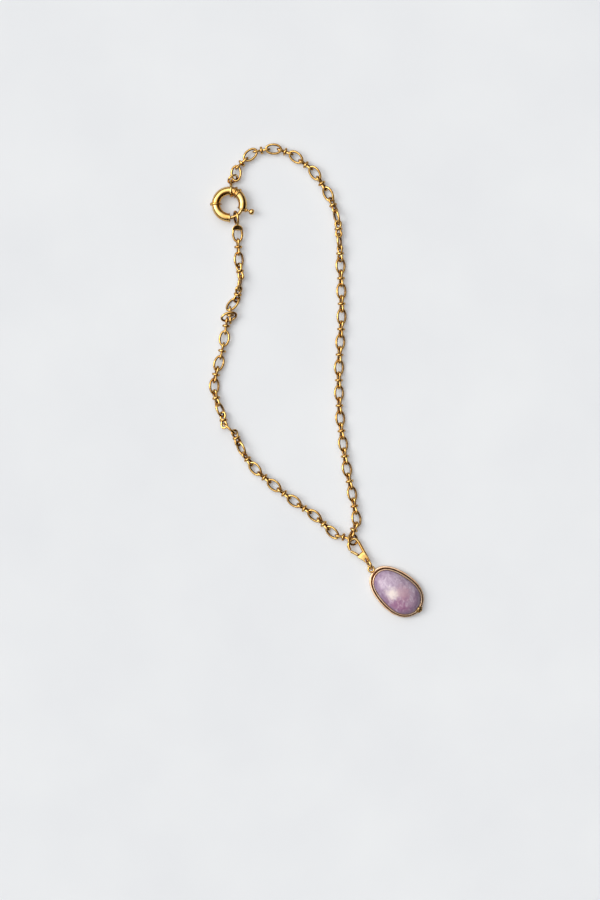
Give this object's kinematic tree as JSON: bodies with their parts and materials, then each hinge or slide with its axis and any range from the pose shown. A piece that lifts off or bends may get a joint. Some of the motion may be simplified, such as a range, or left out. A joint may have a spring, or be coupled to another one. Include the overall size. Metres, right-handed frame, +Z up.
{
  "type": "charm necklace",
  "caption": "Gold-plated charm necklace laid as a closed loop: oval and pinched links, bolt ring clasp, spring clip, and an egg-shaped lilac cabochon in a smooth bezel.",
  "frame": {"origin": "on the surface the necklace lies on, under the centre of its bounding box", "axes": "+Y from the pendant towards the top of the neck loop, +X away from the clasp's side, +Z up from the surface, the way the stone's dome faces"},
  "size_m": [0.1074, 0.2372, 0.009],
  "materials": {
    "gold_plate": "polished gold plate over brass",
    "bezel_gold": "polished pale rose gold plate over brass",
    "amethyst": "polished milky lilac quartz"
  },
  "bodies": {
    "necklace": {"clasp_body": "gold_plate", "clasp_bail": "gold_plate", "clasp_jump_ring": "gold_plate", "end_link": "gold_plate", "right_oval_1": "gold_plate", "right_connector_1": "gold_plate", "right_oval_2": "gold_plate", "right_connector_2": "gold_plate", "right_oval_3": "gold_plate", "right_connector_3": "gold_plate", "right_oval_4": "gold_plate", "right_connector_4": "gold_plate", "right_oval_5": "gold_plate", "right_connector_5": "gold_plate", "right_oval_6": "gold_plate", "right_connector_6": "gold_plate", "right_oval_7": "gold_plate", "right_connector_7": "gold_plate", "right_oval_8": "gold_plate", "right_connector_8": "gold_plate", "right_oval_9_stretch": "gold_plate", "right_connector_10_stretch": "gold_plate", "right_oval_12_stretch": "gold_plate", "right_connector_13_stretch": "gold_plate", "right_oval_15_stretch": "gold_plate", "right_connector_16_stretch": "gold_plate", "right_oval_18_stretch": "gold_plate", "right_connector_19": "gold_plate", "left_connector_1": "gold_plate", "left_oval_2": "gold_plate", "left_connector_2": "gold_plate", "left_oval_3": "gold_plate", "left_connector_3": "gold_plate", "left_oval_4": "gold_plate", "left_connector_4": "gold_plate", "left_oval_5": "gold_plate", "left_connector_5": "gold_plate", "left_oval_6": "gold_plate", "left_connector_6": "gold_plate", "left_oval_7": "gold_plate", "left_connector_7": "gold_plate", "left_oval_8": "gold_plate", "left_connector_8": "gold_plate", "left_oval_9": "gold_plate", "left_connector_9": "gold_plate", "left_oval_10": "gold_plate", "left_connector_10": "gold_plate", "left_oval_11": "gold_plate", "left_connector_11": "gold_plate", "left_oval_12_stretch": "gold_plate", "left_connector_13_stretch": "gold_plate", "left_oval_15_stretch": "gold_plate", "left_connector_16": "gold_plate", "centre_ring": "gold_plate", "clip_body": "gold_plate", "clip_link": "gold_plate", "pendant_bezel": "bezel_gold", "pendant_stone": "amethyst"},
    "clasp_bolt": {"clasp_bolt": "gold_plate"},
    "clip_gate": {"clip_gate": "gold_plate"}
  },
  "joints": [
    {"name": "clasp_open", "type": "hinge", "parent": "necklace", "child": "clasp_bolt", "pos_m": [-0.04353, 0.08804, 0.00338], "axis": [0, 0, 1], "range_deg": [0, 45], "stiffness_Nm_per_rad": 0.01},
    {"name": "clip_gate_open", "type": "hinge", "parent": "necklace", "child": "clip_gate", "pos_m": [0.02046, -0.08721, 0.00215], "axis": [0, 0, -1], "range_deg": [0, 22], "stiffness_Nm_per_rad": 0.004}
  ]
}
